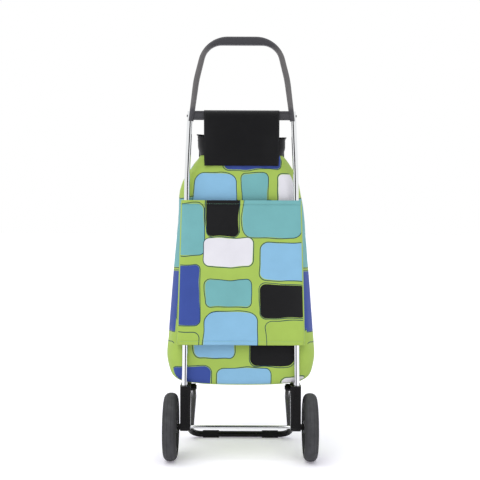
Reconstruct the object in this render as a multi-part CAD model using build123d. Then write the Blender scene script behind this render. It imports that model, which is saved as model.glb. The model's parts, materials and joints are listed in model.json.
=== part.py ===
from build123d import *
import math
import os

# A two-wheeled folding shopping trolley: a soft bag on a frame of two aluminium tubes,
# with a moulded handle, moulded legs, a steel axle and a tubular stand that folds up in front.
# Millimetres. +Z is up, +Y points from the user's side (rear) to the front, +X to the right
# as the user sees it. While modelling, the wheel axle lies on y = 0; save() then moves
# everything so that the origin is on the floor, under the middle of the whole object.

# ---- driving dimensions ----
overall_height = 1040.0
wheel_diameter = 165.0
wheel_width = 34.0
wheel_centre_x = 171.0
axle_diameter = 8.0
frame_tube_diameter = 13.4
frame_tube_wall = 1.2
stand_tube_diameter = 16.0
stand_tube_wall = 1.5
leg_inner_x = 122.8
leg_outer_x = 147.8
leg_bottom_z = 72.0
leg_top_z = 184.0
stand_pivot_y = 45.0
stand_pivot_z = 172.0
stand_bar_y = 250.0
foot_flat_height = 9.6
foot_outer_radius = 10.0
hub_cap_outer_x = 190.0
fabric = 2.5
bag_back_y = 9.0
bag_bottom_z = 185.5
bag_waist_z = 750.0
bag_mouth_z = 799.0

# ---- worked out from them ----
wheel_radius = wheel_diameter / 2
axle_radius = axle_diameter / 2
frame_tube_radius = frame_tube_diameter / 2
stand_tube_radius = stand_tube_diameter / 2
front_reach = stand_bar_y + foot_outer_radius
axle_y = wheel_radius - (wheel_radius + front_reach) / 2
stand_drop = stand_pivot_z - foot_flat_height
stand_run = stand_bar_y - stand_pivot_y
stand_length = math.hypot(stand_run, stand_drop)
stand_angle = math.degrees(math.atan2(stand_drop, stand_run))

running_gap = 0.05
side_gap = 0.3
sides = {"left": -1, "right": 1}


def save(name, shape):
    """Move a finished sub-part into the object's own frame and write it."""
    placed = Pos(0, axle_y, 0) * shape
    placed.label = name
    export_step(placed, f"parts/{name}.step")


def cylinder_x(radius, x_from, x_to, y=0.0, z=0.0):
    """A cylinder along X between two x values."""
    length = abs(x_to - x_from)
    middle = (x_from + x_to) / 2
    return Pos(middle, y, z) * Rot(0, 90, 0) * Cylinder(radius, length)


def ring_x(outer, inner, x_from, x_to, y=0.0, z=0.0):
    """A ring along X between two x values."""
    return cylinder_x(outer, x_from, x_to, y, z) - cylinder_x(inner, x_from - 1, x_to + 1, y, z)


def box_between(low, high):
    """A box from its lowest corner to its highest corner."""
    size = [b - a for a, b in zip(low, high)]
    middle = [(a + b) / 2 for a, b in zip(low, high)]
    return Pos(*middle) * Box(*size)


def mirrored(shape, side):
    """The right-hand shape itself, or its mirror image for the left."""
    if side > 0:
        return shape
    return mirror(shape, about=Plane.YZ)


# ---- frame tubes ----
tube_foot_z = 139.0
tube_bend_z = 700.0
tube_top_z = 857.0
tube_foot_x = 138.0
tube_bend_x = 133.6
tube_top_x = 126.2
tube_bend_radius = 2000.0
rivet_z = 846.0
rivet_tube_x = 126.75
rivet_radius = 1.9
rivet_head_radius = 3.2
rivet_head_height = 1.0
rivet_head_gap = 0.3
fastener_depth = 4.5
screw_z = 158.0
screw_x = 137.85
screw_radius = 1.6
screw_head_radius = 3.4
screw_head_height = 1.8
screw_slot_length = 4.4
screw_slot_width = 0.9
screw_slot_depth = 0.8
leg_half_depth = 13.0


def tube_path():
    """The centre line of the right-hand tube, which leans in a little more near the handle."""
    points = [(tube_foot_x, tube_foot_z), (tube_bend_x, tube_bend_z), (tube_top_x, tube_top_z)]
    return Plane.XZ * FilletPolyline(*points, radius=tube_bend_radius)


def rod_along_tube(radius):
    """A round bar along the tube's centre line."""
    path = tube_path()
    start = Plane(origin=path @ 0, z_dir=path % 0)
    return sweep(start * Circle(radius), path=path)


def frame_tube():
    """A plain aluminium tube with a hole for its rivet and one for its screw."""
    tube = rod_along_tube(frame_tube_radius) - rod_along_tube(frame_tube_radius - frame_tube_wall)
    return tube - rivet_shank() - screw_shank()


def rivet_shank():
    """The part of a tube's rivet below its head, along X."""
    head_x = rivet_tube_x + frame_tube_radius + rivet_head_gap
    return cylinder_x(rivet_radius, rivet_tube_x - fastener_depth, head_x, 0, rivet_z)


def screw_shank():
    """The part of the leg's screw below its head, along Y."""
    tip_y = -fastener_depth
    length = tip_y + leg_half_depth
    return Pos(screw_x, tip_y - length / 2, screw_z) * Rot(90, 0, 0) * Cylinder(screw_radius, length)


# ---- handle ----
handle_depth = 22.0
handle_round = 5.5
grip_thickness = 20.5
crossbar_low_z = 836.0
crossbar_high_z = 858.0
crossbar_depth = 15.0
saddle_low_z = 833.0
saddle_inner_x = 118.6
saddle_outer_x = 130.3
knee_z = 934.0
knee_inner_x = 104.4
knee_outer_x = 118.8
knee_radius = 260.0
shoulder_inner_x = 83.5
shoulder_outer_x = 91.5
shoulder_inner_radius = 43.5
shoulder_outer_radius = 74.0
groove_depth = 1.2
groove_edge = 4.0


def arch_band():
    """The arch seen from behind, as one flat band with rounded shoulders."""
    grip_low_z = overall_height - grip_thickness
    outer = [
        (saddle_outer_x, saddle_low_z),
        (knee_outer_x, knee_z),
        (shoulder_outer_x, overall_height),
    ]
    inner = [
        (saddle_inner_x, saddle_low_z),
        (knee_inner_x, knee_z),
        (shoulder_inner_x, grip_low_z),
    ]
    outer_left = [(-x, z) for x, z in reversed(outer)]
    inner_left = [(-x, z) for x, z in inner]
    outline = outer + outer_left + inner_left + list(reversed(inner))
    band = make_face(Plane.XZ * Polyline(*outline, close=True))
    outer_shoulders = band.vertices().filter_by(lambda v: v.Z > overall_height - 1)
    band = fillet(outer_shoulders, shoulder_outer_radius)
    inner_shoulders = band.vertices().filter_by(
        lambda v: abs(v.Z - grip_low_z) < 0.5 and abs(abs(v.X) - shoulder_inner_x) < 0.5
    )
    band = fillet(inner_shoulders, shoulder_inner_radius)
    knees = band.vertices().filter_by(lambda v: abs(v.Z - knee_z) < 0.5)
    return fillet(knees, knee_radius)


def handle():
    """One moulding: the arch, the crossbar the bag hangs on, and a saddle for each tube."""
    arch = extrude(arch_band(), amount=handle_depth / 2, both=True)
    long_edges = [
        edge
        for edge in arch.edges()
        if abs(abs((edge @ 0.5).Y) - handle_depth / 2) < 0.01 and (edge @ 0.5).Z > saddle_low_z + 0.5
    ]
    arch = fillet(long_edges, handle_round)
    bar_reach = saddle_inner_x + 2
    bar = box_between(
        (-bar_reach, -crossbar_depth / 2, crossbar_low_z),
        (bar_reach, crossbar_depth / 2, crossbar_high_z),
    )
    bar = fillet(bar.edges().filter_by(Axis.X), 3.0)
    for face_y in (-crossbar_depth / 2, crossbar_depth / 2 - groove_depth):
        bar -= box_between(
            (-bar_reach, face_y, crossbar_low_z + groove_edge),
            (bar_reach, face_y + groove_depth, crossbar_high_z - groove_edge),
        )
    body = arch + bar
    for side in sides.values():
        body -= mirrored(rod_along_tube(frame_tube_radius) + rivet_shank(), side)
    return body


def handle_rivet(side):
    """A blind rivet from the outside of a tube's top into the handle's core."""
    head_x = rivet_tube_x + frame_tube_radius + rivet_head_gap
    head = cylinder_x(rivet_head_radius, head_x, head_x + rivet_head_height, 0, rivet_z)
    head = fillet(head.edges().group_by(Axis.X)[-1], 0.7)
    return mirrored(rivet_shank() + head, side)


# ---- legs ----
lug_radius = 12.0
pivot_pin_radius = 4.0
pivot_head_radius = 6.0
pivot_head_height = 3.2
closed_end_radius = 5.6
closed_end_height = 1.7
washer_radius = 9.0
brace_low_z = 108.0
brace_high_z = 165.0
brace_reach_y = 40.0
leg_bevel_width = 7.0
leg_bevel_depth = 4.0
pocket_wall = 5.0
pocket_depth = 4.0
pocket_rise = 24.0


def leg(side):
    """A moulded bracket: tube socket on top, axle boss below, stand lug in front."""
    axle_boss_radius = wheel_radius - leg_bottom_z
    column = make_hull(
        (Pos(0, wheel_radius) * Circle(axle_boss_radius)).edges()
        + (Pos(0, leg_top_z - leg_half_depth) * Circle(leg_half_depth)).edges()
    )
    arm = make_hull(
        (Pos(0, stand_pivot_z - 1) * Circle(lug_radius)).edges()
        + (Pos(stand_pivot_y, stand_pivot_z) * Circle(lug_radius)).edges()
    )
    brace = make_face(
        Polyline((0, brace_low_z), (0, brace_high_z), (brace_reach_y, brace_high_z), close=True)
    )
    profile = Plane.YZ * (column + arm + brace)
    body = Pos(leg_inner_x, 0, 0) * extrude(profile, amount=leg_outer_x - leg_inner_x)
    body += box_between(
        (leg_inner_x, -leg_half_depth, leg_top_z - 30), (leg_outer_x, leg_half_depth, leg_top_z)
    )
    bevel_cut = make_face(
        Polyline(
            (leg_inner_x - 1, -leg_half_depth - 1),
            (leg_inner_x + leg_bevel_width, -leg_half_depth - 1),
            (leg_inner_x + leg_bevel_width, -leg_half_depth + 0.2),
            (leg_inner_x, -leg_half_depth + leg_bevel_depth),
            (leg_inner_x - 1, -leg_half_depth + leg_bevel_depth),
            close=True,
        )
    )
    body -= extrude(bevel_cut, amount=leg_top_z + 1)
    pocket = make_hull(
        (Pos(0, wheel_radius + pocket_rise) * Circle(axle_boss_radius - pocket_wall)).edges()
        + (Pos(0, leg_top_z - 30) * Circle(leg_half_depth - pocket_wall)).edges()
    )
    body -= Pos(leg_outer_x - pocket_depth, 0, 0) * extrude(Plane.YZ * pocket, amount=pocket_depth + 1)
    body -= rod_along_tube(frame_tube_radius) + screw_shank()
    body -= cylinder_x(axle_radius, leg_inner_x - 1, leg_outer_x + 1, 0, wheel_radius)
    body -= cylinder_x(
        pivot_pin_radius, leg_inner_x - 1, leg_outer_x + 1, stand_pivot_y, stand_pivot_z
    )
    return mirrored(body, side)


def leg_screw(side):
    """The screw that holds a tube in its leg, driven in from behind."""
    head_y = -leg_half_depth - screw_head_height / 2
    slot_y = -leg_half_depth - screw_head_height
    head = Pos(screw_x, head_y, screw_z) * Rot(90, 0, 0) * Cylinder(
        screw_head_radius, screw_head_height
    )
    for across, up in ((screw_slot_length, screw_slot_width), (screw_slot_width, screw_slot_length)):
        head -= Pos(screw_x, slot_y, screw_z) * Box(across, 2 * screw_slot_depth, up)
    return mirrored(head + screw_shank(), side)


# ---- stand ----
eye_inner_x = 111.8
eye_outer_x = 120.8
eye_radius = 9.25
stand_top_x = 116.4
stand_bar_x = 135.4
stand_corner_radius = 28.0
eye_length = 22.0
neck_end = 44.0
foot_centre_x = 79.6
foot_width = 43.0

# The stand's own plane: x across, then down along the arms, seen square on.
stand_plane = Plane(
    origin=(0, stand_pivot_y, stand_pivot_z),
    x_dir=(1, 0, 0),
    z_dir=(0, math.sin(math.radians(stand_angle)), math.cos(math.radians(stand_angle))),
)


def arm_x(distance):
    """How far out an arm's centre line is, at a distance down from the pivot."""
    return stand_top_x + (stand_bar_x - stand_top_x) * distance / stand_length


def stand_tube():
    """One bent tube: two arms that spread a little, a floor bar, and flattened ends."""
    points = [
        (-arm_x(neck_end), neck_end),
        (-stand_bar_x, stand_length),
        (stand_bar_x, stand_length),
        (arm_x(neck_end), neck_end),
    ]
    path = stand_plane * FilletPolyline(*points, radius=stand_corner_radius)
    start = Plane(origin=path @ 0, z_dir=path % 0)
    outer = sweep(start * Circle(stand_tube_radius), path=path)
    inner = sweep(start * Circle(stand_tube_radius - stand_tube_wall), path=path)
    body = outer - inner
    for side in sides.values():
        body += mirrored(stand_eye(), side)
    return body


def stand_eye():
    """The flattened end of an arm, with the hole for the pivot rivet and a neck to the tube."""
    thickness = eye_outer_x - eye_inner_x
    middle_x = (eye_inner_x + eye_outer_x) / 2
    down = stand_plane.y_dir
    spread = math.degrees(math.atan2(stand_bar_x - stand_top_x, stand_length))
    arm_direction = down.rotate(Axis((0, 0, 0), stand_plane.z_dir), -spread)
    flat_plane = Plane(
        origin=stand_plane.from_local_coords((middle_x, eye_length, 0)),
        x_dir=(1, 0, 0),
        z_dir=down,
    )
    round_plane = Plane(
        origin=stand_plane.from_local_coords((arm_x(neck_end), neck_end, 0)),
        x_dir=stand_plane.z_dir,
        z_dir=arm_direction,
    )
    flat_section = flat_plane * RectangleRounded(thickness, 2 * eye_radius, thickness / 2 - 0.4)
    neck = loft([flat_section, round_plane * Circle(stand_tube_radius)])
    plate = Pos(middle_x, stand_pivot_y, stand_pivot_z) * Rot(0, 90, 0) * Cylinder(
        eye_radius, thickness
    )
    plate += extrude(flat_section, amount=-eye_length)
    eye = neck + plate
    return eye - cylinder_x(
        pivot_pin_radius + running_gap, eye_inner_x - 1, eye_outer_x + 1, stand_pivot_y, stand_pivot_z
    )


def stand_foot(side):
    """A clip-on sleeve round the floor bar, with a flat underside."""
    middle = side * foot_centre_x
    sleeve = ring_x(
        foot_outer_radius,
        stand_tube_radius,
        middle - foot_width / 2,
        middle + foot_width / 2,
        stand_bar_y,
        foot_flat_height,
    )
    below = box_between(
        (middle - foot_width, stand_bar_y - 20, -10), (middle + foot_width, stand_bar_y + 20, 0)
    )
    return sleeve - below


def pivot_rivet(side):
    """A headed rivet through the leg's lug and the arm's eye."""
    head_outer = leg_outer_x + pivot_head_height
    end_inner = eye_inner_x - side_gap - closed_end_height
    shank = cylinder_x(
        pivot_pin_radius, end_inner + 1, head_outer - 1, stand_pivot_y, stand_pivot_z
    )
    head = cylinder_x(pivot_head_radius, leg_outer_x, head_outer, stand_pivot_y, stand_pivot_z)
    head = fillet(head.edges().group_by(Axis.X)[-1], 1.5)
    closed_end = cylinder_x(
        closed_end_radius, end_inner, eye_inner_x - side_gap, stand_pivot_y, stand_pivot_z
    )
    closed_end = fillet(closed_end.edges().group_by(Axis.X)[0], 0.8)
    return mirrored(shank + head + closed_end, side)


def pivot_washer(side):
    """The friction washer between a leg and an arm."""
    ring = ring_x(
        washer_radius,
        pivot_pin_radius,
        eye_outer_x + side_gap,
        leg_inner_x,
        stand_pivot_y,
        stand_pivot_z,
    )
    return mirrored(ring, side)


# ---- wheels and axle ----
tyre_inner_radius = 63.0
rim_inner_radius = 56.0
hub_radius = 15.0
bush_radius = 6.5
tyre_shoulder_radius = 15.0
tyre_groove_offset = 5.0
tyre_groove_radius = 1.0
tyre_key_height = 3.0
rim_ring_inset = 3.0
web_half_thickness = 2.0
spoke_count = 6
spoke_half_width = 7.0
window_inner_radius = 5.0
window_outer_radius = 6.0
window_spread = 12.0
hub_inner_x = 155.6
hub_outer_x = 186.2
spacer_radius = 7.5
push_nut_radius = 8.5


def axle():
    length = 2 * (hub_outer_x + 2.0)
    bar = Pos(0, 0, wheel_radius) * Rot(0, 90, 0) * Cylinder(axle_radius, length)
    ends = bar.edges().filter_by(GeomType.CIRCLE)
    return chamfer(ends, 0.6)


def tyre(side):
    """A solid moulded tyre with well-rounded shoulders and two shallow grooves."""
    half = wheel_width / 2
    section = Pos(0, (wheel_radius + tyre_inner_radius) / 2) * Rectangle(
        wheel_width, wheel_radius - tyre_inner_radius
    )
    shoulders = section.vertices().filter_by(lambda v: v.Y > wheel_radius - 1)
    section = fillet(shoulders, tyre_shoulder_radius)
    for offset in (-tyre_groove_offset, tyre_groove_offset):
        section -= Pos(offset, wheel_radius) * Circle(tyre_groove_radius)
    body = revolve(Plane.XY * section, axis=Axis.X)
    body = Pos(0, 0, wheel_radius) * body
    key_radius = tyre_inner_radius + tyre_key_height
    key_half = half - rim_ring_inset
    seat = ring_x(key_radius, 1.0, -half - 1, half + 1, 0, wheel_radius)
    keep = ring_x(key_radius, tyre_inner_radius, -key_half, key_half, 0, wheel_radius)
    body = (body - seat) + keep
    return Pos(side * wheel_centre_x, 0, 0) * body


def rim(side):
    """A moulded spoked hub: outer ring, spokes, boss."""
    half_ring = wheel_width / 2 - rim_ring_inset
    thin = web_half_thickness
    ring = ring_x(tyre_inner_radius, rim_inner_radius, -half_ring, half_ring, 0, wheel_radius)
    web = ring_x(rim_inner_radius + 1, hub_radius - 1, -thin, thin, 0, wheel_radius)
    window_low = hub_radius + 6 + window_inner_radius
    window_high = rim_inner_radius - 4 - window_outer_radius
    window = make_hull(
        (Pos(0, window_low) * Circle(window_inner_radius)).edges()
        + (Pos(-window_spread, window_high) * Circle(window_outer_radius)).edges()
        + (Pos(window_spread, window_high) * Circle(window_outer_radius)).edges()
    )
    window = Pos(-2 * thin, 0, 0) * extrude(Plane.YZ * window, amount=4 * thin)
    spoke = box_between(
        (-spoke_half_width, -thin, hub_radius - 2), (spoke_half_width, thin, rim_inner_radius + 1)
    )
    for index in range(spoke_count):
        web -= Pos(0, 0, wheel_radius) * Rot(360 / spoke_count * index, 0, 0) * window
    body = ring + web
    for index in range(spoke_count):
        body += Pos(0, 0, wheel_radius) * Rot(360 / spoke_count * (index + 0.5), 0, 0) * spoke
    boss_inner = hub_inner_x - wheel_centre_x
    boss_outer = hub_outer_x - wheel_centre_x
    body += cylinder_x(hub_radius, boss_inner, boss_outer, 0, wheel_radius)
    body -= cylinder_x(bush_radius, -wheel_width, wheel_width, 0, wheel_radius)
    return mirrored(Pos(wheel_centre_x, 0, 0) * body, side)


def wheel_bush(side):
    ring = ring_x(bush_radius, axle_radius + running_gap, hub_inner_x, hub_outer_x, 0, wheel_radius)
    return mirrored(ring, side)


def hub_cap(side):
    """A shallow dome over the axle's end, pressed on the hub."""
    outer_radius = hub_radius + 2.5
    dome = cylinder_x(outer_radius, hub_outer_x - 4, hub_cap_outer_x, 0, wheel_radius)
    dome = fillet(dome.edges().group_by(Axis.X)[-1], 2.5)
    dome -= cylinder_x(hub_radius, hub_outer_x - 5, hub_outer_x, 0, wheel_radius)
    dome -= cylinder_x(push_nut_radius + 2, hub_outer_x - 1, hub_cap_outer_x - 1.2, 0, wheel_radius)
    return mirrored(dome, side)


def axle_spacer(side):
    ring = ring_x(
        spacer_radius, axle_radius, leg_outer_x, hub_inner_x - side_gap, 0, wheel_radius
    )
    return mirrored(ring, side)


def push_nut(side):
    """The spring cap on the axle's end that keeps the wheel on."""
    ring = ring_x(
        push_nut_radius, axle_radius, hub_outer_x + side_gap, hub_outer_x + 1.7, 0, wheel_radius
    )
    return mirrored(ring, side)


# ---- bag ----
# The bag narrows from its full width near the bottom to a pinched waist under the collar.
# Each row: height, half width, how far forward the front panel is.
bag_levels = [
    (bag_bottom_z, 151.0, 224.0),
    (201.0, 172.0, 235.0),
    (250.0, 182.0, 240.0),
    (460.0, 166.0, 232.0),
    (640.0, 151.0, 222.0),
    (690.0, 144.0, 216.0),
    (722.0, 124.0, 204.0),
    (bag_waist_z, 104.0, 190.0),
]
collar_levels = [
    (bag_waist_z, 104.0, 190.0),
    (772.0, 109.5, 197.0),
    (bag_mouth_z, 109.5, 197.0),
]
bag_corner = 30.0
base_board_z = 189.0
base_board_thickness = 3.0
base_board_half_width = 140.0
base_board_back_y = 18.0
base_board_front_y = 212.0
base_board_corner = 22.0
lid_hinge_y = 12.5
lid_thickness = 2.0
lid_drop = 62.0
lid_front_y = 203.0
lid_half_width = 111.0
lid_drop_corner = 18.0
tape_thickness = 1.6
tape_corner = 3.0
flap_tape_half_width = 75.0
flap_tape_low_z = 727.0
flap_tape_high_z = 749.0
lid_tape_half_width = 60.0
lid_tape_low_z = 774.0
lid_tape_high_z = 794.0


def soft_section(level, inset):
    """A rounded rectangle at one height, with its back edge against the tubes."""
    z, half_width, front = level
    back = bag_back_y + inset
    depth = front - inset - back
    width = 2 * (half_width - inset)
    centre = Vector(0, back + depth / 2, z)
    return Plane(origin=centre) * RectangleRounded(width, depth, bag_corner - inset)


def soft_tower(levels, inset):
    """A solid through rounded rectangles at the given levels."""
    sections = [soft_section(level, inset) for level in levels]
    return loft(sections, ruled=True)


def extended(levels, down, up):
    """The same levels, with the end ones moved so that a cutting shape runs past the ends."""
    first = (levels[0][0] + down,) + levels[0][1:]
    last = (levels[-1][0] + up,) + levels[-1][1:]
    return [first] + levels[1:-1] + [last]


def bag_body():
    """The printed bag: closed below, open at the waist."""
    return soft_tower(bag_levels, 0) - soft_tower(extended(bag_levels, fabric, 1), fabric)


def bag_collar():
    """The black band round the mouth, which stands up above the waist."""
    return soft_tower(collar_levels, 0) - soft_tower(extended(collar_levels, -1, 1), fabric)


def base_board():
    """The stiff board inside the bottom of the bag."""
    low = (-base_board_half_width, base_board_back_y, base_board_z)
    high = (base_board_half_width, base_board_front_y, base_board_z + base_board_thickness)
    board = box_between(low, high)
    return fillet(board.edges().filter_by(Axis.Z), base_board_corner)


# ---- hanging flap ----
flap_half_width = 92.5
flap_thickness = 1.6
flap_low_z = 724.0
flap_sewn_z = 762.0
flap_end_y = 5.6
flap_tape_y = flap_end_y + flap_thickness / 2 + 1.0


def hanging_flap():
    """The strap of cloth sewn to the collar's back: up, over the crossbar and down behind it."""
    sewn_y = bag_back_y - flap_thickness / 2 - 0.1
    over_y = crossbar_depth / 2 + flap_thickness / 2 + 0.6
    over_z = crossbar_high_z + flap_thickness / 2 + 0.4
    points = [
        (sewn_y, flap_sewn_z),
        (sewn_y, bag_mouth_z + 16),
        (over_y, crossbar_low_z - 1),
        (over_y, over_z),
        (-over_y, over_z),
        (-over_y, crossbar_low_z - 4),
        (flap_end_y, bag_waist_z + 4),
        (flap_end_y, flap_low_z),
    ]
    path = Plane.YZ * FilletPolyline(*points, radius=[12, 12, 4, 4, 30, 12])
    start = Plane(origin=path @ 0, x_dir=(1, 0, 0), z_dir=path % 0)
    return sweep(start * Rectangle(2 * flap_half_width, flap_thickness), path=path)


def tape_strip(half_width, y_from, y_to, z_from, z_to):
    """One strip of hook-and-loop tape with rounded corners."""
    strip = box_between((-half_width, y_from, z_from), (half_width, y_to, z_to))
    return fillet(strip.edges().filter_by(Axis.Y), tape_corner)


def flap_tape(y_from, y_to):
    return tape_strip(flap_tape_half_width, y_from, y_to, flap_tape_low_z, flap_tape_high_z)


def flap_hook_tape():
    return flap_tape(flap_end_y + flap_thickness / 2, flap_tape_y)


def flap_loop_tape():
    return flap_tape(flap_tape_y, bag_back_y)


# ---- sleeve behind the tubes ----
sleeve_low_z = 284.0
sleeve_high_z = 639.0
sleeve_low_x = 158.6
sleeve_high_x = 149.0
sleeve_back_y = -10.4
sleeve_cloth = 1.5


def sleeve_block(inset, back_y, past):
    """A tapering block as wide as the sleeve, less an inset on each side."""
    slope = (sleeve_high_x - sleeve_low_x) / (sleeve_high_z - sleeve_low_z)
    low_x = sleeve_low_x - inset - slope * past
    high_x = sleeve_high_x - inset + slope * past
    outline = [
        (-low_x, sleeve_low_z - past),
        (low_x, sleeve_low_z - past),
        (high_x, sleeve_high_z + past),
        (-high_x, sleeve_high_z + past),
    ]
    face = make_face(Plane.XZ * Polyline(*outline, close=True))
    return Pos(0, bag_back_y, 0) * extrude(face, amount=bag_back_y - back_y)


def rear_sleeve():
    """The panel sewn to the bag's back along its sides, which the two tubes pass through."""
    inside = sleeve_block(sleeve_cloth, sleeve_back_y + sleeve_cloth, 5)
    return sleeve_block(0, sleeve_back_y, 0) - inside


# ---- lid ----
def lid():
    """The cover of the mouth: a flat top and a short drop in front."""
    top_low_z = bag_mouth_z + side_gap
    top_high_z = top_low_z + lid_thickness
    drop_y = lid_front_y - lid_thickness
    top = box_between(
        (-lid_half_width, lid_hinge_y, top_low_z), (lid_half_width, lid_front_y, top_high_z)
    )
    drop = box_between(
        (-lid_half_width, drop_y, bag_mouth_z - lid_drop), (lid_half_width, lid_front_y, top_high_z)
    )
    body = top + drop
    corners = body.edges().filter_by(Axis.Y).group_by(Axis.Z)[0]
    return fillet(corners, lid_drop_corner)


def lid_tape(y_from, y_to):
    return tape_strip(lid_tape_half_width, y_from, y_to, lid_tape_low_z, lid_tape_high_z)


def lid_hook_tape():
    drop_y = lid_front_y - lid_thickness
    return lid_tape(drop_y - tape_thickness - 0.4, drop_y)


def lid_loop_tape():
    collar_front_y = collar_levels[-1][2]
    return lid_tape(collar_front_y, collar_front_y + tape_thickness)


def main():
    os.makedirs("parts", exist_ok=True)
    save("handle", handle())
    save("handle_rivets", Compound(children=[handle_rivet(side) for side in sides.values()]))
    save("leg_screws", Compound(children=[leg_screw(side) for side in sides.values()]))
    save("axle", axle())
    for name, side in sides.items():
        save(f"frame_tube_{name}", mirrored(frame_tube(), side))
        save(f"leg_{name}", leg(side))
        save(f"pivot_rivet_{name}", pivot_rivet(side))
        save(f"pivot_washer_{name}", pivot_washer(side))
        save(f"axle_spacer_{name}", axle_spacer(side))
        save(f"push_nut_{name}", push_nut(side))
        save(f"tyre_{name}", tyre(side))
        save(f"rim_{name}", rim(side))
        save(f"wheel_bush_{name}", wheel_bush(side))
        save(f"hub_cap_{name}", hub_cap(side))
        save(f"stand_foot_{name}", stand_foot(side))
    save("stand_tube", stand_tube())
    save("bag_body", bag_body())
    save("bag_collar", bag_collar())
    save("base_board", base_board())
    save("hanging_flap", hanging_flap())
    save("rear_sleeve", rear_sleeve())
    save("lid", lid())
    save("flap_hook_tape", flap_hook_tape())
    save("flap_loop_tape", flap_loop_tape())
    save("lid_hook_tape", lid_hook_tape())
    save("lid_loop_tape", lid_loop_tape())


if __name__ == "__main__":
    main()
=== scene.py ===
"""A folding shopping trolley with a printed cloth bag: its cloth, seams and finishes.

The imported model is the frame, and the pieces take their places from it.
Metres, +Z up, +Y to the front.
The soft CAD solids are replaced by cloth pieces, and the hard ones keep their shape.
"""
import json
import math

import bmesh
import bpy
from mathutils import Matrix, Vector, noise


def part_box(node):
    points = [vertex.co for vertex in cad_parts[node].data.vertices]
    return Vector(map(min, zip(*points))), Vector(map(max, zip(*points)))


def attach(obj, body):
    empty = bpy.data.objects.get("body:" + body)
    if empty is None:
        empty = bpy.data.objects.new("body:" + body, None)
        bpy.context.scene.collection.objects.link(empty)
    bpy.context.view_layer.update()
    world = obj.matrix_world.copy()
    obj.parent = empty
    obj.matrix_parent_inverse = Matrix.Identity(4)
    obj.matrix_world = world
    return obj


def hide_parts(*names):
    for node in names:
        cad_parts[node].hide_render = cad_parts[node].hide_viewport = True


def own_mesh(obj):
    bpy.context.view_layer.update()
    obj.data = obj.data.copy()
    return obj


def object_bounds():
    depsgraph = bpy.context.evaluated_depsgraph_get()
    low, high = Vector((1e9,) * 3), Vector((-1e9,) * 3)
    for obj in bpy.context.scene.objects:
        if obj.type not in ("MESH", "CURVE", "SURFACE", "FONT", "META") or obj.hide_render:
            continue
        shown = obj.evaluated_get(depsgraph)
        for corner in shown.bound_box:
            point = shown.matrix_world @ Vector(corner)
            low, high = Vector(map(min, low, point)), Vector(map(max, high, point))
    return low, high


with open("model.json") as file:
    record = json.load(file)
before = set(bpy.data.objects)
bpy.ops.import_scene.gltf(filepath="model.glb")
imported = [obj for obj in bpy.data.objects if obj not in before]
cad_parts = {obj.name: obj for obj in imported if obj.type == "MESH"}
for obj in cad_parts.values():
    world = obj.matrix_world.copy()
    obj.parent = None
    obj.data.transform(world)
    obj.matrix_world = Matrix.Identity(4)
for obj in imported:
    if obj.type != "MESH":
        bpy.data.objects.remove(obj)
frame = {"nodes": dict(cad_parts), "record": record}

MM = 0.001
cad_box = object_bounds()

# ---- places read from the frame ----
bag_low, bag_high = (Vector(corner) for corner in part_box("bag_body"))
collar_low, collar_high = (Vector(corner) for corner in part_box("bag_collar"))
flap_low, flap_high = (Vector(corner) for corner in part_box("hanging_flap"))
sleeve_low, sleeve_high = (Vector(corner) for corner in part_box("rear_sleeve"))
lid_low, lid_high = (Vector(corner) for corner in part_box("lid"))
axle_low, axle_high = (Vector(corner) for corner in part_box("axle"))
tube_low, tube_high = (Vector(corner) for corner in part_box("frame_tube_right"))
axle_y = (axle_low.y + axle_high.y) / 2
axle_z = (axle_low.z + axle_high.z) / 2
# The grip's thickness, and how far the flap rises above the crossbar.
GRIP_THICKNESS = 20.5 * MM
FLAP_OVER_BAR = 2 * MM
grip_low_z = cad_box[1][2] - GRIP_THICKNESS
bar_top_z = flap_high.z - FLAP_OVER_BAR

# ---- sizes of the cloth work ----
BAG_CLOTH = 1.6 * MM
SATIN_CLOTH = 1.1 * MM
HEM_WIDTH = 11 * MM
HEM_CLOTH = 0.6 * MM
STITCH_PITCH = 4.2 * MM
STITCH_MARKS = 40
STITCH_HALF_MM = (1.5, 0.42, 0.36)
BAG_CORNER = 30 * MM
CREASE_SIZE = 70 * MM

# The bag's outline from the bottom up: share of its height, of its width and of its depth.
BAG_OUTLINE = (
    (0.0, 0.830, 0.931),
    (0.027, 0.945, 0.978),
    (0.114, 1.0, 1.0),
    (0.486, 0.912, 0.965),
    (0.805, 0.830, 0.922),
    (0.894, 0.791, 0.896),
    (0.950, 0.681, 0.844),
    (1.0, 0.571, 0.784),
)
# The collar's outline in the same way, as shares of the collar's own box.
COLLAR_OUTLINE = ((0.0, 0.950, 0.963), (0.449, 1.0, 1.0), (1.0, 1.0, 1.0))


# ---- colour and nodes ----
def paint(code):
    """A colour written as an sRGB hex code, in the linear values that shaders take."""
    parts = [int(code[place:place + 2], 16) / 255 for place in (1, 3, 5)]
    linear = [part / 12.92 if part <= 0.04045 else ((part + 0.055) / 1.055) ** 2.4 for part in parts]
    return (*linear, 1.0)


def add(tree, kind, inputs=None, **settings):
    """Add a node. Settings are its own options; inputs are numbers, colours or sockets to link."""
    node = tree.nodes.new("ShaderNode" + kind)
    for option, value in settings.items():
        setattr(node, option, value)
    for place, value in (inputs or {}).items():
        if isinstance(value, bpy.types.NodeSocket):
            tree.links.new(value, node.inputs[place])
        else:
            node.inputs[place].default_value = value
    return node


def start_material(name, roughness, **constants):
    """An empty finish: its tree and its shader, with the shader's constant values set."""
    material = bpy.data.materials.new(name)
    material.use_nodes = True
    tree = material.node_tree
    shader = tree.nodes["Principled BSDF"]
    shader.inputs["Roughness"].default_value = roughness
    for place, value in constants.items():
        shader.inputs[place.replace("_", " ")].default_value = value
    return material, tree, shader


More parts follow.
